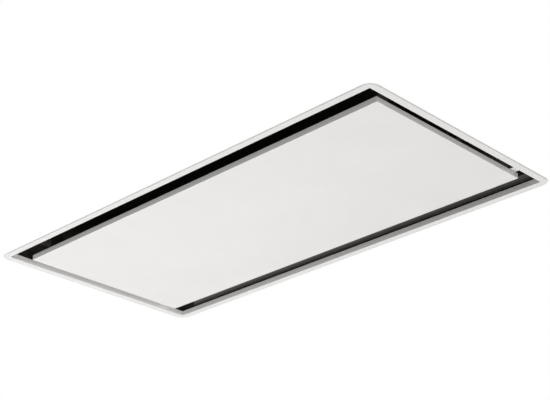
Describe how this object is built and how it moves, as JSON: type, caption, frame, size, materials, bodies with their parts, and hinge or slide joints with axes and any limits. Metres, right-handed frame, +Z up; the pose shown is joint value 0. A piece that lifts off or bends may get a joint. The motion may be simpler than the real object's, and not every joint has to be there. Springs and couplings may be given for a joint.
{
  "type": "ceiling range hood",
  "caption": "Flush ceiling range hood: white perimeter-suction panel in a thin flange, with casing, grease filters, fan and duct collar above.",
  "frame": {"origin": "middle of the underside, level with the visible faces of the flange and of the panel", "axes": "+X along the hood, +Y across it towards the panel's hinge, +Z up into the ceiling"},
  "size_m": [1, 0.5, 0.36],
  "materials": {
    "white_powder_coat": "satin powder coat",
    "black_paint": "satin black paint",
    "black_plastic": "fine moulded grain",
    "foam": "closed-cell foam",
    "rubber": "matt",
    "galvanised": "galvanised sheet with spangle",
    "zinc_plated": "bright zinc",
    "aluminium": "satin",
    "steel": "ground",
    "grey_plastic": "moulded",
    "circuit_board": "lacquered laminate"
  },
  "bodies": {
    "casing": {"trim_frame": "white_powder_coat", "frame_seal": "foam", "intake_liner": "black_paint", "filter_deck": "black_paint", "catch_bracket_left": "black_paint", "catch_bracket_right": "black_paint", "casing_wall_front": "galvanised", "casing_wall_back": "galvanised", "casing_wall_left": "galvanised", "casing_wall_right": "galvanised", "casing_top": "galvanised", "scroll_wrap": "galvanised", "scroll_inlet_cheek": "galvanised", "scroll_motor_cheek": "galvanised", "inlet_ring": "galvanised", "motor_body": "galvanised", "electric_box": "galvanised", "electric_box_lid": "galvanised", "corner_angle_front_left": "zinc_plated", "corner_angle_back_left": "zinc_plated", "corner_angle_front_right": "zinc_plated", "corner_angle_back_right": "zinc_plated", "suspension_bracket_front_left": "zinc_plated", "suspension_bracket_back_left": "zinc_plated", "suspension_bracket_front_right": "zinc_plated", "suspension_bracket_back_right": "zinc_plated", "hinge_pin_left": "steel", "hinge_pin_right": "steel", "flap_pin": "steel", "catch_magnet_left": "black_plastic", "catch_magnet_right": "black_plastic", "filter_magnet_1": "black_plastic", "filter_magnet_2": "black_plastic", "filter_magnet_3": "black_plastic", "outlet_collar": "black_plastic", "motor_bush_1": "rubber", "motor_bush_2": "rubber", "motor_bush_3": "rubber", "terminal_block": "grey_plastic", "run_capacitor": "grey_plastic", "cable_gland": "grey_plastic", "control_board": "circuit_board"},
    "panel": {"panel_tray": "white_powder_coat", "panel_stiffener_left": "galvanised", "panel_stiffener_right": "galvanised", "panel_hinge_bracket_left": "zinc_plated", "panel_hinge_bracket_right": "zinc_plated", "strike_plate_left": "zinc_plated", "strike_plate_right": "zinc_plated"},
    "filter_1": {"filter_frame_1": "aluminium", "filter_mesh_1": "aluminium"},
    "filter_2": {"filter_frame_2": "aluminium", "filter_mesh_2": "aluminium"},
    "filter_3": {"filter_frame_3": "aluminium", "filter_mesh_3": "aluminium"},
    "wheel": {"fan_wheel": "galvanised", "motor_shaft": "steel"},
    "flap_back": {"flap_back": "black_plastic"},
    "flap_front": {"flap_front": "black_plastic"}
  },
  "joints": [
    {"name": "panel_hinge", "type": "hinge", "parent": "casing", "child": "panel", "pos_m": [0, 0.1843, 0.014], "axis": [1, 0, 0], "range_deg": [0, 90]},
    {"name": "filter_1_tilt", "type": "hinge", "parent": "casing", "child": "filter_1", "pos_m": [-0.315, 0.104, 0.0715], "axis": [1, 0, 0], "range_deg": [0, 12]},
    {"name": "filter_2_tilt", "type": "hinge", "parent": "casing", "child": "filter_2", "pos_m": [0, 0.104, 0.0715], "axis": [1, 0, 0], "range_deg": [0, 12]},
    {"name": "filter_3_tilt", "type": "hinge", "parent": "casing", "child": "filter_3", "pos_m": [0.315, 0.104, 0.0715], "axis": [1, 0, 0], "range_deg": [0, 12]},
    {"name": "fan_spin", "type": "hinge", "parent": "casing", "child": "wheel", "pos_m": [0, -0.08009, 0.18404], "axis": [1, 0, 0], "continuous": true},
    {"name": "flap_back_hinge", "type": "hinge", "parent": "casing", "child": "flap_back", "pos_m": [0, 0, 0.3065], "axis": [1, 0, 0], "range_deg": [0, 80]},
    {"name": "flap_front_hinge", "type": "hinge", "parent": "casing", "child": "flap_front", "pos_m": [0, 0, 0.3065], "axis": [-1, 0, 0], "range_deg": [0, 80]}
  ]
}
